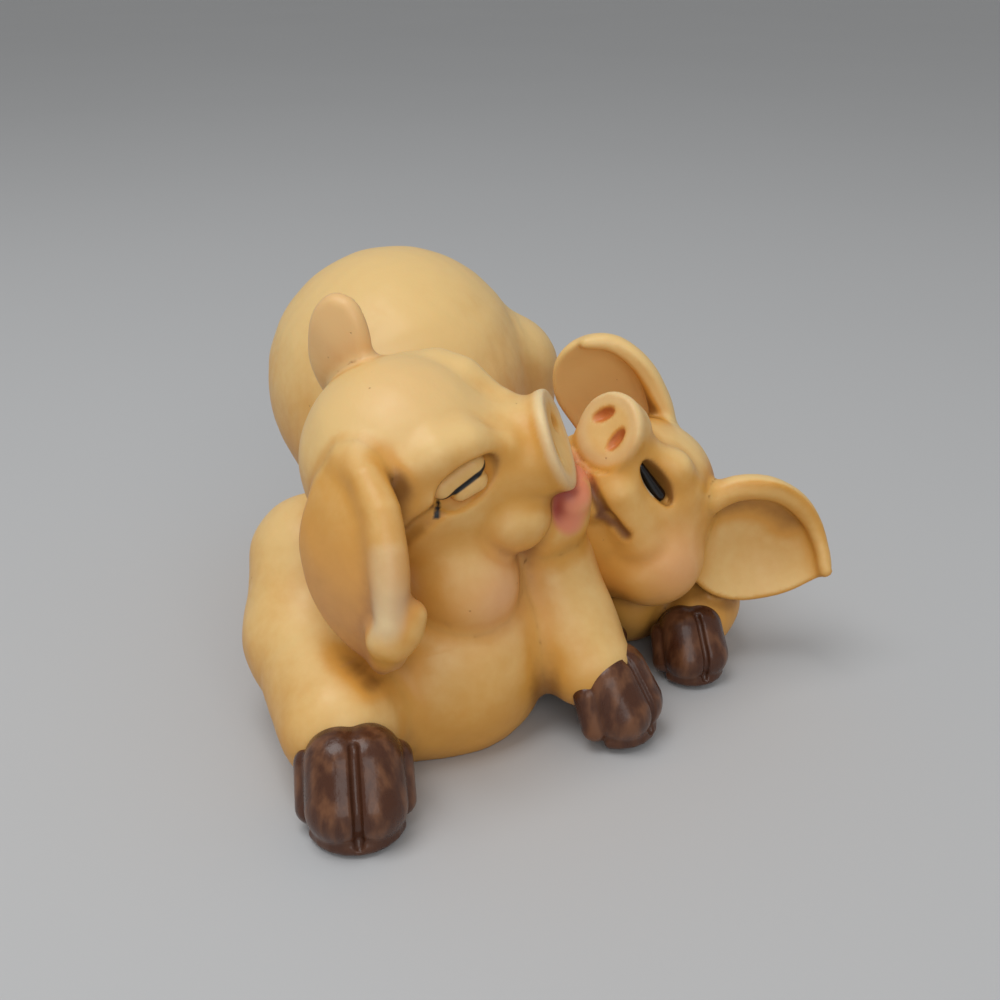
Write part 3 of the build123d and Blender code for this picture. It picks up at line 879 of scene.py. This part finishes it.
def painted_shade_share(form, points, normals, ears_less_shaded):
    """Painted shade, laid where shade falls: in creases and on faces turned down, darker low down, less on
    the listed ears.
    """
    painted_shade = form.hidden_share(points, normals, crease_reaches)
    painted_shade += turned_down_shade * (1 - normals[:, 2]) + low_darkening * np.clip(1 - points[:, 2] / low_height, 0, 1)
    for name, share in ears_less_shaded.items():
        painted_shade *= 1 - share * on_ear(points, ears[name])
    return painted_shade


def front_paint(form, points, normals):
    painted_shade = painted_shade_share(form, points, normals, {"front_pig_left_ear": 0.60, "front_pig_right_ear": 0.10})
    # More painted shade over the front pig's right ear
    painted_shade += 0.22 * on_ear(points, ears["front_pig_right_ear"])
    # Less painted shade on the crown and the cheeks
    painted_shade -= spots(points, front_head, front_less_shade)
    blush = spots(points, front_head, front_blush)
    blush += 0.40 * ear_blush(points, ears["front_pig_left_ear"], 0.6)
    blush += 0.45 * ear_blush(points, ears["front_pig_right_ear"], 0.9)
    # Pale edges of the snout disc and the rolled ear rim: partly bare resin, partly a painted highlight
    rim = 0.42 * disc_rim(points, front_head, front_disc)
    rim += 0.45 * along(points, moved(places_of(rolled_rim[3:])), 1.2, 1.4)
    lip = np.zeros(len(points))
    marks = np.zeros((len(points), 4))
    for side in (1, -1):
        row = [front_head.point(share, side) for share in front_lip]
        lip = np.maximum(lip, along(points, row, 2.9, 0.8))
        place = EyePlace(front_head, front_eye, side)
        corner = skin_line(form, [place.at(offsets) for offsets in lid_corner])
        marks[:, 2] = np.maximum(marks[:, 2], along(points, corner, *lid_corner_sizes))
    return np.clip(np.stack([painted_shade, blush, rim, lip], axis=1), 0, 1), marks


def rear_paint(form, points, normals):
    painted_shade = painted_shade_share(form, points, normals, {"rear_pig_left_ear": 0.30, "rear_pig_right_ear": 0.95})
    blush = spots(points, rear_head, rear_blush)
    left_ear = ears["rear_pig_left_ear"]
    hollow = places_of(left_ear.edge(left_ear.fold_side, *rear_fold_shadow))
    # Painted shadow in the hollow under the left ear's folded rim
    painted_shade += 0.35 * along(points, hollow, 0.6, 3.4)
    # Pale edge of the snout disc: partly bare resin, partly a painted highlight
    rim = 0.2 * disc_rim(points, rear_head, rear_disc)
    lip = np.zeros(len(points))
    marks = np.zeros((len(points), 4))
    for centre, axes in nostril_places(rear_head, rear_disc):
        slit = 1 - smooth_step(-0.2, 0.45, ellipsoid(points, centre, axes, painted_nostril_radii))
        marks[:, 0] = np.maximum(marks[:, 0], 0.85 * slit)
    for side in (1, -1):
        row = skin_line(form, [rear_head.point(share, side) for share in rear_mouth])
        lip = np.maximum(lip, 0.5 * along(points, row[:5], 0.5, 1.1))
        marks[:, 1] = np.maximum(marks[:, 1], 0.8 * along(points, row[4:], 0.15, 1.2))
        place = EyePlace(rear_head, rear_eye, side)
        # Pale rim below each black eye, partly a painted highlight
        rim += 0.8 * along(points, [place.at(offsets) for offsets in lower_lid], *lower_lid_sizes)
    return np.clip(np.stack([painted_shade, blush, rim, lip], axis=1), 0, 1), marks


# Materials

class Nodes:
    """Short calls for building a node tree."""

    def __init__(self, tree):
        self.tree = tree
        self.tree.nodes.clear()

    def add(self, kind, inputs=None, **settings):
        node = self.tree.nodes.new(kind)
        for name, value in settings.items():
            setattr(node, name, value)
        self.fill(node, inputs or {})
        return node

    def fill(self, node, inputs):
        for name, value in inputs.items():
            self.feed(node.inputs[name], value)

    def coords(self):
        return self.add("ShaderNodeTexCoord").outputs["Object"]

    def noise(self, vector, scale, detail=2.0):
        return self.add("ShaderNodeTexNoise", {"Vector": vector, "Scale": scale, "Detail": detail}).outputs[0]

    def masks(self, attribute):
        """The three channels of a colour attribute, and its fourth."""
        values = self.add("ShaderNodeAttribute", attribute_name=attribute)
        parts = self.add("ShaderNodeSeparateColor", {"Color": values.outputs["Color"]})
        return *parts.outputs, values.outputs["Alpha"]

    def feed(self, socket, value):
        if isinstance(value, bpy.types.NodeSocket):
            self.tree.links.new(value, socket)
        else:
            socket.default_value = value

    def math(self, operation, *values):
        node = self.add("ShaderNodeMath", operation=operation)
        for socket, value in zip(node.inputs, values):
            self.feed(socket, value)
        return node.outputs[0]

    def spread(self, value, low, high):
        """Nought below the low value, one above the high one, smooth between."""
        node = self.add("ShaderNodeMapRange", interpolation_type="SMOOTHSTEP")
        for socket, item in zip(node.inputs, (value, low, high, 0.0, 1.0)):
            self.feed(socket, item)
        return node.outputs[0]

    def mix(self, share, one, other):
        node = self.add("ShaderNodeMix", data_type="RGBA")
        for socket, item in ((node.inputs[0], share), (node.inputs[6], one), (node.inputs[7], other)):
            self.feed(socket, item)
        return node.outputs[2]


def colour(values):
    return (*values, 1.0)


def new_material(name):
    material = bpy.data.materials.new(name)
    material.use_nodes = True
    nodes = Nodes(material.node_tree)
    shader = nodes.add("ShaderNodeBsdfPrincipled")
    output = nodes.add("ShaderNodeOutputMaterial")
    nodes.feed(output.inputs["Surface"], shader.outputs[0])
    return material, nodes, shader


def skin_paint(looks):
    """The painted skin that castings, ears and lids share, as a node group that is built once."""
    tree = bpy.data.node_groups.get("skin_paint")
    if tree:
        return tree
    tree = bpy.data.node_groups.new("skin_paint", "ShaderNodeTree")
    tree.interface.new_socket("Warmth", in_out="INPUT", socket_type="NodeSocketFloat")
    tree.interface.new_socket("Color", in_out="OUTPUT", socket_type="NodeSocketColor")
    for name in ("Roughness", "Height"):
        tree.interface.new_socket(name, in_out="OUTPUT", socket_type="NodeSocketFloat")
    nodes = Nodes(tree)
    warmth = nodes.add("NodeGroupInput").outputs["Warmth"]
    coords = nodes.coords()
    # Paint channels: painted shade, blush, pale edges that are partly a painted highlight, and lips
    painted_shade, blush, rim, lip = nodes.masks("paint")
    cloud = nodes.noise(coords, 95.0, 3.0)
    fine = nodes.noise(coords, 700.0, 3.0)
    uneven = nodes.math("MULTIPLY_ADD", cloud, 0.5, nodes.math("MULTIPLY_ADD", fine, 0.2, -0.35))
    uneven = nodes.math("ADD", uneven, warmth)
    # Painted shade mixed with uneven tone: honey where it is light, crease brown where it is deep
    shade_and_tone = nodes.math("ADD", painted_shade, nodes.math("MULTIPLY", uneven, 0.6))
    skin = nodes.mix(nodes.spread(shade_and_tone, 0.05, 0.50), colour(looks.cream), colour(looks.honey))
    skin = nodes.mix(nodes.spread(shade_and_tone, 0.45, 0.95), skin, colour(looks.crease))
    skin = nodes.mix(nodes.math("MULTIPLY", blush, 0.7), skin, colour(looks.blush))
    skin = nodes.mix(rim, skin, colour(looks.rim))
    # The lips turn to the dark mouth red where the painted shade is deep
    lips = nodes.mix(nodes.spread(painted_shade, 0.25, 0.95), colour(looks.lip), colour(looks.mouth))
    skin = nodes.mix(lip, skin, lips)
    for share, tint in zip(nodes.masks("marks"), (looks.nostril, looks.mouth_line, looks.eye)):
        skin = nodes.mix(share, skin, colour(tint))
    pits = nodes.add("ShaderNodeTexVoronoi", {"Vector": coords, "Scale": 330.0}, feature="F1")
    chance = nodes.add("ShaderNodeSeparateColor", {"Color": pits.outputs["Color"]}).outputs[0]
    hole = nodes.math("SUBTRACT", 1.0, nodes.spread(pits.outputs["Distance"], 0.025, 0.06))
    pit = nodes.math("MULTIPLY", hole, nodes.math("GREATER_THAN", chance, 0.88))
    # Pinholes take the crease brown: painted shade inside them
    skin = nodes.mix(nodes.math("MULTIPLY", pit, 0.45), skin, colour(looks.crease))
    height = nodes.math("SUBTRACT", nodes.math("MULTIPLY", fine, 0.35), pit)
    rough = nodes.math("MULTIPLY_ADD", fine, 0.12, looks.skin_roughness)
    nodes.add("NodeGroupOutput", {"Color": skin, "Roughness": rough, "Height": height})
    return tree


def skin_material(name, looks, warmth):
    """Painted resin, with a little light that passes under its surface."""
    material, nodes, shader = new_material(name)
    paint = nodes.add("ShaderNodeGroup", {"Warmth": warmth}, node_tree=skin_paint(looks))
    bump = nodes.add("ShaderNodeBump",
                     {"Height": paint.outputs["Height"], "Strength": 0.5, "Distance": 0.0002})
    nodes.fill(shader, {
        "Base Color": paint.outputs["Color"], "Roughness": paint.outputs["Roughness"],
        "Normal": bump.outputs[0], "Specular IOR Level": 0.38, "Subsurface Weight": looks.skin_glow,
        "Subsurface Radius": (1.0, 0.5, 0.25), "Subsurface Scale": looks.glow_depth})
    return material


def hoof_material(name, looks):
    material, nodes, shader = new_material(name)
    painted_shade, wear_and_highlight = nodes.masks("paint")[:2]
    streaks = nodes.add("ShaderNodeMapping", {"Vector": nodes.coords(), "Scale": (1.0, 1.0, 0.35)}).outputs[0]
    patches = nodes.noise(streaks, 480.0, 4.0)
    # Raised edges show lighter copper: paint worn thin, and partly a painted highlight
    thin = nodes.math("MULTIPLY_ADD", wear_and_highlight, 0.7, 0.15)
    bare = nodes.math("MULTIPLY", nodes.spread(patches, 0.42, 0.68), thin)
    paint_colour = nodes.mix(bare, colour(looks.hoof), colour(looks.copper))
    # Near black painted shade at the bottom of the clefts
    paint_colour = nodes.mix(nodes.spread(painted_shade, 0.35, 0.9), paint_colour, colour(looks.cleft))
    bump = nodes.add("ShaderNodeBump", {"Height": patches, "Strength": 0.5, "Distance": 0.0004})
    rough = nodes.math("MULTIPLY_ADD", patches, 0.3, 0.15)
    nodes.fill(shader, {"Base Color": paint_colour, "Roughness": rough, "Normal": bump.outputs[0],
                        "Specular IOR Level": 0.35, "Coat Weight": 0.12})
    return material


def cloudy_material(name, one, other, scale, roughness):
    """Two near colours in soft clouds."""
    material, nodes, shader = new_material(name)
    tint = nodes.mix(nodes.noise(nodes.coords(), scale), colour(one), colour(other))
    nodes.fill(shader, {"Base Color": tint, "Roughness": roughness})
    return material


# Settings

def colour_setting(name, description, default):
    return bpy.props.FloatVectorProperty(name=name, description=description, default=default, size=3,
                                         subtype="COLOR", min=0, max=1)


def number_setting(name, description, default, **limits):
    return bpy.props.FloatProperty(name=name, description=description, default=default, **limits)


def place_setting(name, description, default):
    return bpy.props.FloatVectorProperty(name=name, description=description, default=default, size=3,
                                         subtype="TRANSLATION", unit="LENGTH")


class OrnamentLooks(bpy.types.PropertyGroup):
    # Honey and crease stand for painted shade, mixed with uneven tone; cream shows where little of it lies
    cream: colour_setting("Cream", "Skin paint on the open, raised parts", (0.84, 0.575, 0.235))
    honey: colour_setting("Honey", "Thin wash over the skin paint", (0.69, 0.335, 0.062))
    crease: colour_setting("Crease", "Wash where it gathers in the creases", (0.30, 0.125, 0.022))
    blush: colour_setting("Blush", "Pink tinge of the cheeks, brow and ears", (0.80, 0.38, 0.19))
    # Rim: pale thin edges, partly bare resin and partly a painted highlight
    rim: colour_setting("Rim", "Pale resin on thin edges", (0.78, 0.74, 0.55))
    lip: colour_setting("Lip", "Lips", (0.80, 0.28, 0.15))
    mouth: colour_setting("Mouth", "Inside of the lips", (0.36, 0.055, 0.03))
    nostril: colour_setting("Nostril", "Painted nostrils of the rear pig", (0.62, 0.17, 0.045))
    mouth_line: colour_setting("Mouth line", "Line of the rear pig's mouth", (0.13, 0.035, 0.013))
    hoof: colour_setting("Hoof", "Hoof paint", (0.075, 0.025, 0.011))
    # Copper: lighter paint on raised hoof edges, worn thin and partly a painted highlight
    copper: colour_setting("Copper", "Hoof paint worn thin", (0.25, 0.105, 0.045))
    # Cleft: near black, painted shade at the bottom of the clefts
    cleft: colour_setting("Cleft", "Bottom of the clefts", (0.008, 0.004, 0.003))
    eye: colour_setting("Eye", "Black eye paint", (0.004, 0.004, 0.004))
    floor: colour_setting("Floor", "Pale floor", (0.55, 0.56, 0.57))
    # Rear warmth: a browner, darker tone over the whole rear pig
    rear_warmth: number_setting("Rear warmth", "Extra wash over the rear pig", 0.06, min=0, max=1)
    skin_roughness: number_setting("Skin roughness", "Sheen of the skin paint", 0.36, min=0, max=1)
    skin_glow: number_setting("Skin glow", "Share of light that passes under the surface", 0.12, min=0, max=1)
    glow_depth: number_setting("Glow depth", "How deep light goes below the surface", 0.002, unit="LENGTH")


class OrnamentModelling(bpy.types.PropertyGroup):
    skin_cell: number_setting("Skin cell", "Mesh size of the castings, in millimetres", 0.40, min=0.2, max=2)
    eye_cell: number_setting("Eye cell", "Mesh size of the eyes, in millimetres", 0.14, min=0.05, max=1)
    hoof_cell: number_setting("Hoof cell", "Mesh size of the hooves, in millimetres", 0.20, min=0.1, max=1)


class OrnamentStage(bpy.types.PropertyGroup):
    floor_size: number_setting("Floor size", "Half the width of the floor", 4.0, unit="LENGTH")
    lens: number_setting("Lens", "Camera focal length in millimetres", 45.0)
    sensor: number_setting("Sensor", "Camera sensor width in millimetres", 36.0)
    near_clip: number_setting("Near clip", "Nearest distance that the camera sees", 0.01, unit="LENGTH")
    distance: number_setting("Distance", "Camera to the point looked at", 0.184, unit="LENGTH")
    elevation: number_setting("Elevation", "Camera height angle", 0.43633, subtype="ANGLE")
    look_height: number_setting("Look height", "Height of the point looked at", 0.026, unit="LENGTH")
    key_place: place_setting("Key place", "Main light from the point looked at", (-0.16, -0.12, 0.55))
    key_size: number_setting("Key size", "Width of the main light", 0.36, unit="LENGTH")
    key_power: number_setting("Key power", "Power of the main soft light", 1.6, unit="POWER")
    fill_place: place_setting("Fill place", "Fill light from the point looked at", (0.10, -0.55, 0.25))
    fill_size: number_setting("Fill size", "Width of the fill light", 0.40, unit="LENGTH")
    fill_power: number_setting("Fill power", "Power of the side fill", 0.9, unit="POWER")
    world: number_setting("World", "Strength of the surrounding light", 0.36)


# Operators

def build_castings(context, form, painter, warmth):
    settings = context.scene.ornament_modelling
    looks = context.scene.ornament_looks
    mesh = remeshed(form, settings.skin_cell)
    points, normals = mesh_points(mesh), mesh_normals(mesh)
    store(mesh, "skin_normal", "FLOAT_VECTOR", normals)
    paint, marks = painter(form, points, normals)
    store(mesh, "paint", "FLOAT_COLOR", paint)
    store(mesh, "marks", "FLOAT_COLOR", marks)
    skin = skin_material("resin_skin", looks, warmth)
    blush = skin_material("ear_blush", looks, warmth)
    made = 0
    for node, piece in split(mesh, form):
        is_ear = node.endswith("_ear")
        finish_piece(mesh_object(f"{node}_casting", piece), node,
                     blush if is_ear else skin)
        made += 1
    bpy.data.meshes.remove(mesh)
    if made != len(form.groups):
        raise RuntimeError("A casting is missing from the skin")


class ORNAMENT_OT_front_castings(bpy.types.Operator):
    """Model the body, head, ears, legs and tail of the front pig"""

    bl_idname = "ornament.front_castings"
    bl_label = "Front pig castings"

    def execute(self, context):
        build_castings(context, front_form(), front_paint, 0.0)
        return {"FINISHED"}


class ORNAMENT_OT_rear_castings(bpy.types.Operator):
    """Model the body, head, ears, legs and tail of the rear pig"""

    bl_idname = "ornament.rear_castings"
    bl_label = "Rear pig castings"

    def execute(self, context):
        build_castings(context, rear_form(), rear_paint, context.scene.ornament_looks.rear_warmth)
        return {"FINISHED"}


def hoof_form(leg):
    """Two front plates with a cleft between, a narrower plate on each side, a heel and a sole."""
    form = Form()
    form.group("hoof", 1.0)
    forward = unit(leg.heading)
    up = np.array((0, 0, 1.0))
    left = np.cross(up, forward)
    centre = moved(leg.hoof)
    radius = leg.hoof_radius

    def at(shares, side=1):
        along, across, above = shares
        return centre + radius * (forward * along + left * across * side + up * above)

    start, end, start_share, end_share = hoof_heel_shares
    form.lobe("hoof", at(start), at(end), radius * start_share, radius * end_share)
    for side in (1, -1):
        for start, end, share, blend_share in hoof_plate_shares:
            form.lobe("hoof", at(start, side), at(end, side), radius * share, radius * share,
                      radius * blend_share)
    middle, spread, height, thickness = sole_shares
    sole = [(at((middle + spread * np.cos(turn), spread * np.sin(turn), height)), radius * thickness)
            for turn in sole_turns]
    form.chain("hoof", sole, radius * sole_blend_share)
    groove(form, [at(shares) for shares in cleft_shares], radius * cleft_radius_share,
           radius * cleft_blend_share)
    return form


def raised_share(form, points, normals):
    """Nought where the skin is thin or hollow, growing where it stands out."""
    reach = normals * raised_reach
    return np.clip(form.distance(points + reach) - form.distance(points - reach) - raised_rise, 0, 1)


class ORNAMENT_OT_hooves(bpy.types.Operator):
    """Model the eight cloven hooves"""

    bl_idname = "ornament.hooves"
    bl_label = "Hooves"

    def execute(self, context):
        looks = context.scene.ornament_looks
        material = hoof_material("hoof_brown", looks)
        for limb, leg in legs.items():
            form = hoof_form(leg)
            mesh = remeshed(form, context.scene.ornament_modelling.hoof_cell)
            points, normals = mesh_points(mesh), mesh_normals(mesh)
            paint = np.zeros((len(points), 4))
            # Painted shade in the clefts
            paint[:, 0] = form.hidden_share(points, normals, hoof_crease_reaches)
            # Raised edges: worn paint, partly a painted highlight
            paint[:, 1] = raised_share(form, points, normals)
            store(mesh, "paint", "FLOAT_COLOR", paint)
            smooth(mesh)
            finish_piece(mesh_object(f"{limb}_hoof_casting", mesh), f"{limb}_hoof", material)
        return {"FINISHED"}


def eye_form(place, lobes):
    form = Form()
    form.group("eye", 1.0)
    for start, end, start_radius, end_radius, blend in lobes:
        form.lobe("eye", place.at(start), place.at(end), start_radius, end_radius, blend)
    return form


class ORNAMENT_OT_eyes(bpy.types.Operator):
    """Model the front pig's closed eyes and the rear pig's black ones"""

    bl_idname = "ornament.eyes"
    bl_label = "Eyes"

    def execute(self, context):
        looks = context.scene.ornament_looks
        lids = skin_material("resin_skin", looks, 0.0)
        black = cloudy_material("eye_black", looks.eye, looks.cleft, 500.0, 0.12)
        for side_name, side in (("left", 1), ("right", -1)):
            self.lids(context, f"front_pig_{side_name}_eye", EyePlace(front_head, front_eye, side), lids)
            self.ball(context, f"rear_pig_{side_name}_eye", EyePlace(rear_head, rear_eye, side), black)
        return {"FINISHED"}

    def lids(self, context, node, place, material):
        form = eye_form(place, lid_lobes)
        mesh = remeshed(form, context.scene.ornament_modelling.eye_cell)
        points, normals = mesh_points(mesh), mesh_normals(mesh)
        line = [place.at(offsets) for offsets in lid_line]
        paint, marks = np.zeros((2, len(points), 4))
        # An even darker tone over the lids, and painted shade in their creases
        paint[:, 0] = lid_darkening + lid_crease_shade * form.hidden_share(points, normals, lid_crease_reaches)
        marks[:, 2] = along(points, skin_line(form, line), *lid_line_sizes)
        store(mesh, "paint", "FLOAT_COLOR", paint)
        store(mesh, "marks", "FLOAT_COLOR", marks)
        smooth(mesh)
        finish_piece(mesh_object(f"{node}_casting", mesh), node, material)

    def ball(self, context, node, place, material):
        mesh = remeshed(eye_form(place, ball_lobes), context.scene.ornament_modelling.eye_cell)
        smooth(mesh)
        finish_piece(mesh_object(f"{node}_casting", mesh), node, material)


class ORNAMENT_OT_stage(bpy.types.Operator):
    """Set the floor, the lights and the camera"""

    bl_idname = "ornament.stage"
    bl_label = "Stage"

    def execute(self, context):
        scene = context.scene
        stage = scene.ornament_stage
        bm = bmesh.new()
        bmesh.ops.create_grid(bm, x_segments=1, y_segments=1, size=stage.floor_size)
        mesh = bpy.data.meshes.new("floor")
        bm.to_mesh(mesh)
        bm.free()
        floor = mesh_object("floor", mesh)
        pale = scene.ornament_looks.floor
        shade = [value * 0.96 for value in pale]
        floor.data.materials.append(cloudy_material("floor", pale, shade, 6.0, 0.7))
        target = Vector((layout_shift[0] * MM, layout_shift[1] * MM, stage.look_height))
        self.light(scene, "key", target, stage.key_place, stage.key_size, stage.key_power)
        self.light(scene, "fill", target, stage.fill_place, stage.fill_size, stage.fill_power)
        world = bpy.data.worlds.new("studio")
        world.use_nodes = True
        world.node_tree.nodes["Background"].inputs["Color"].default_value = (1, 1, 1, 1)
        world.node_tree.nodes["Background"].inputs["Strength"].default_value = stage.world
        scene.world = world
        camera = bpy.data.objects.new("camera", bpy.data.cameras.new("camera"))
        scene.collection.objects.link(camera)
        camera.data.lens = stage.lens
        camera.data.sensor_width = stage.sensor
        camera.data.clip_start = stage.near_clip
        back = Vector((0, -np.cos(stage.elevation), np.sin(stage.elevation)))
        camera.location = target + back * stage.distance
        camera.rotation_euler = back.to_track_quat("Z", "Y").to_euler()
        scene.camera = camera
        scene.view_settings.view_transform = "Standard"
        return {"FINISHED"}

    def light(self, scene, name, target, offset, size, power):
        lamp = bpy.data.lights.new(name, "AREA")
        lamp.size = size
        lamp.energy = power
        obj = bpy.data.objects.new(name, lamp)
        scene.collection.objects.link(obj)
        obj.location = target + Vector(offset)
        obj.rotation_euler = Vector(offset).to_track_quat("Z", "Y").to_euler()


class ORNAMENT_PT_panel(bpy.types.Panel):
    """Steps that build the ornament"""

    bl_idname = "ORNAMENT_PT_panel"
    bl_label = "Ornament"
    bl_space_type = "VIEW_3D"
    bl_region_type = "UI"
    bl_category = "Ornament"

    def draw(self, context):
        for step in steps:
            self.layout.operator(step.bl_idname)


steps = (ORNAMENT_OT_front_castings, ORNAMENT_OT_rear_castings, ORNAMENT_OT_hooves, ORNAMENT_OT_eyes,
         ORNAMENT_OT_stage)
classes = (OrnamentLooks, OrnamentModelling, OrnamentStage, *steps, ORNAMENT_PT_panel)


def register():
    for item in classes:
        bpy.utils.register_class(item)
    bpy.types.Scene.ornament_looks = bpy.props.PointerProperty(type=OrnamentLooks)
    bpy.types.Scene.ornament_modelling = bpy.props.PointerProperty(type=OrnamentModelling)
    bpy.types.Scene.ornament_stage = bpy.props.PointerProperty(type=OrnamentStage)


def unregister():
    del bpy.types.Scene.ornament_stage
    del bpy.types.Scene.ornament_modelling
    del bpy.types.Scene.ornament_looks
    for item in reversed(classes):
        bpy.utils.unregister_class(item)


def main():
    register()
    bpy.ops.ornament.front_castings()
    bpy.ops.ornament.rear_castings()
    bpy.ops.ornament.hooves()
    bpy.ops.ornament.eyes()
    bpy.ops.ornament.stage()


if __name__ == "__main__":
    main()
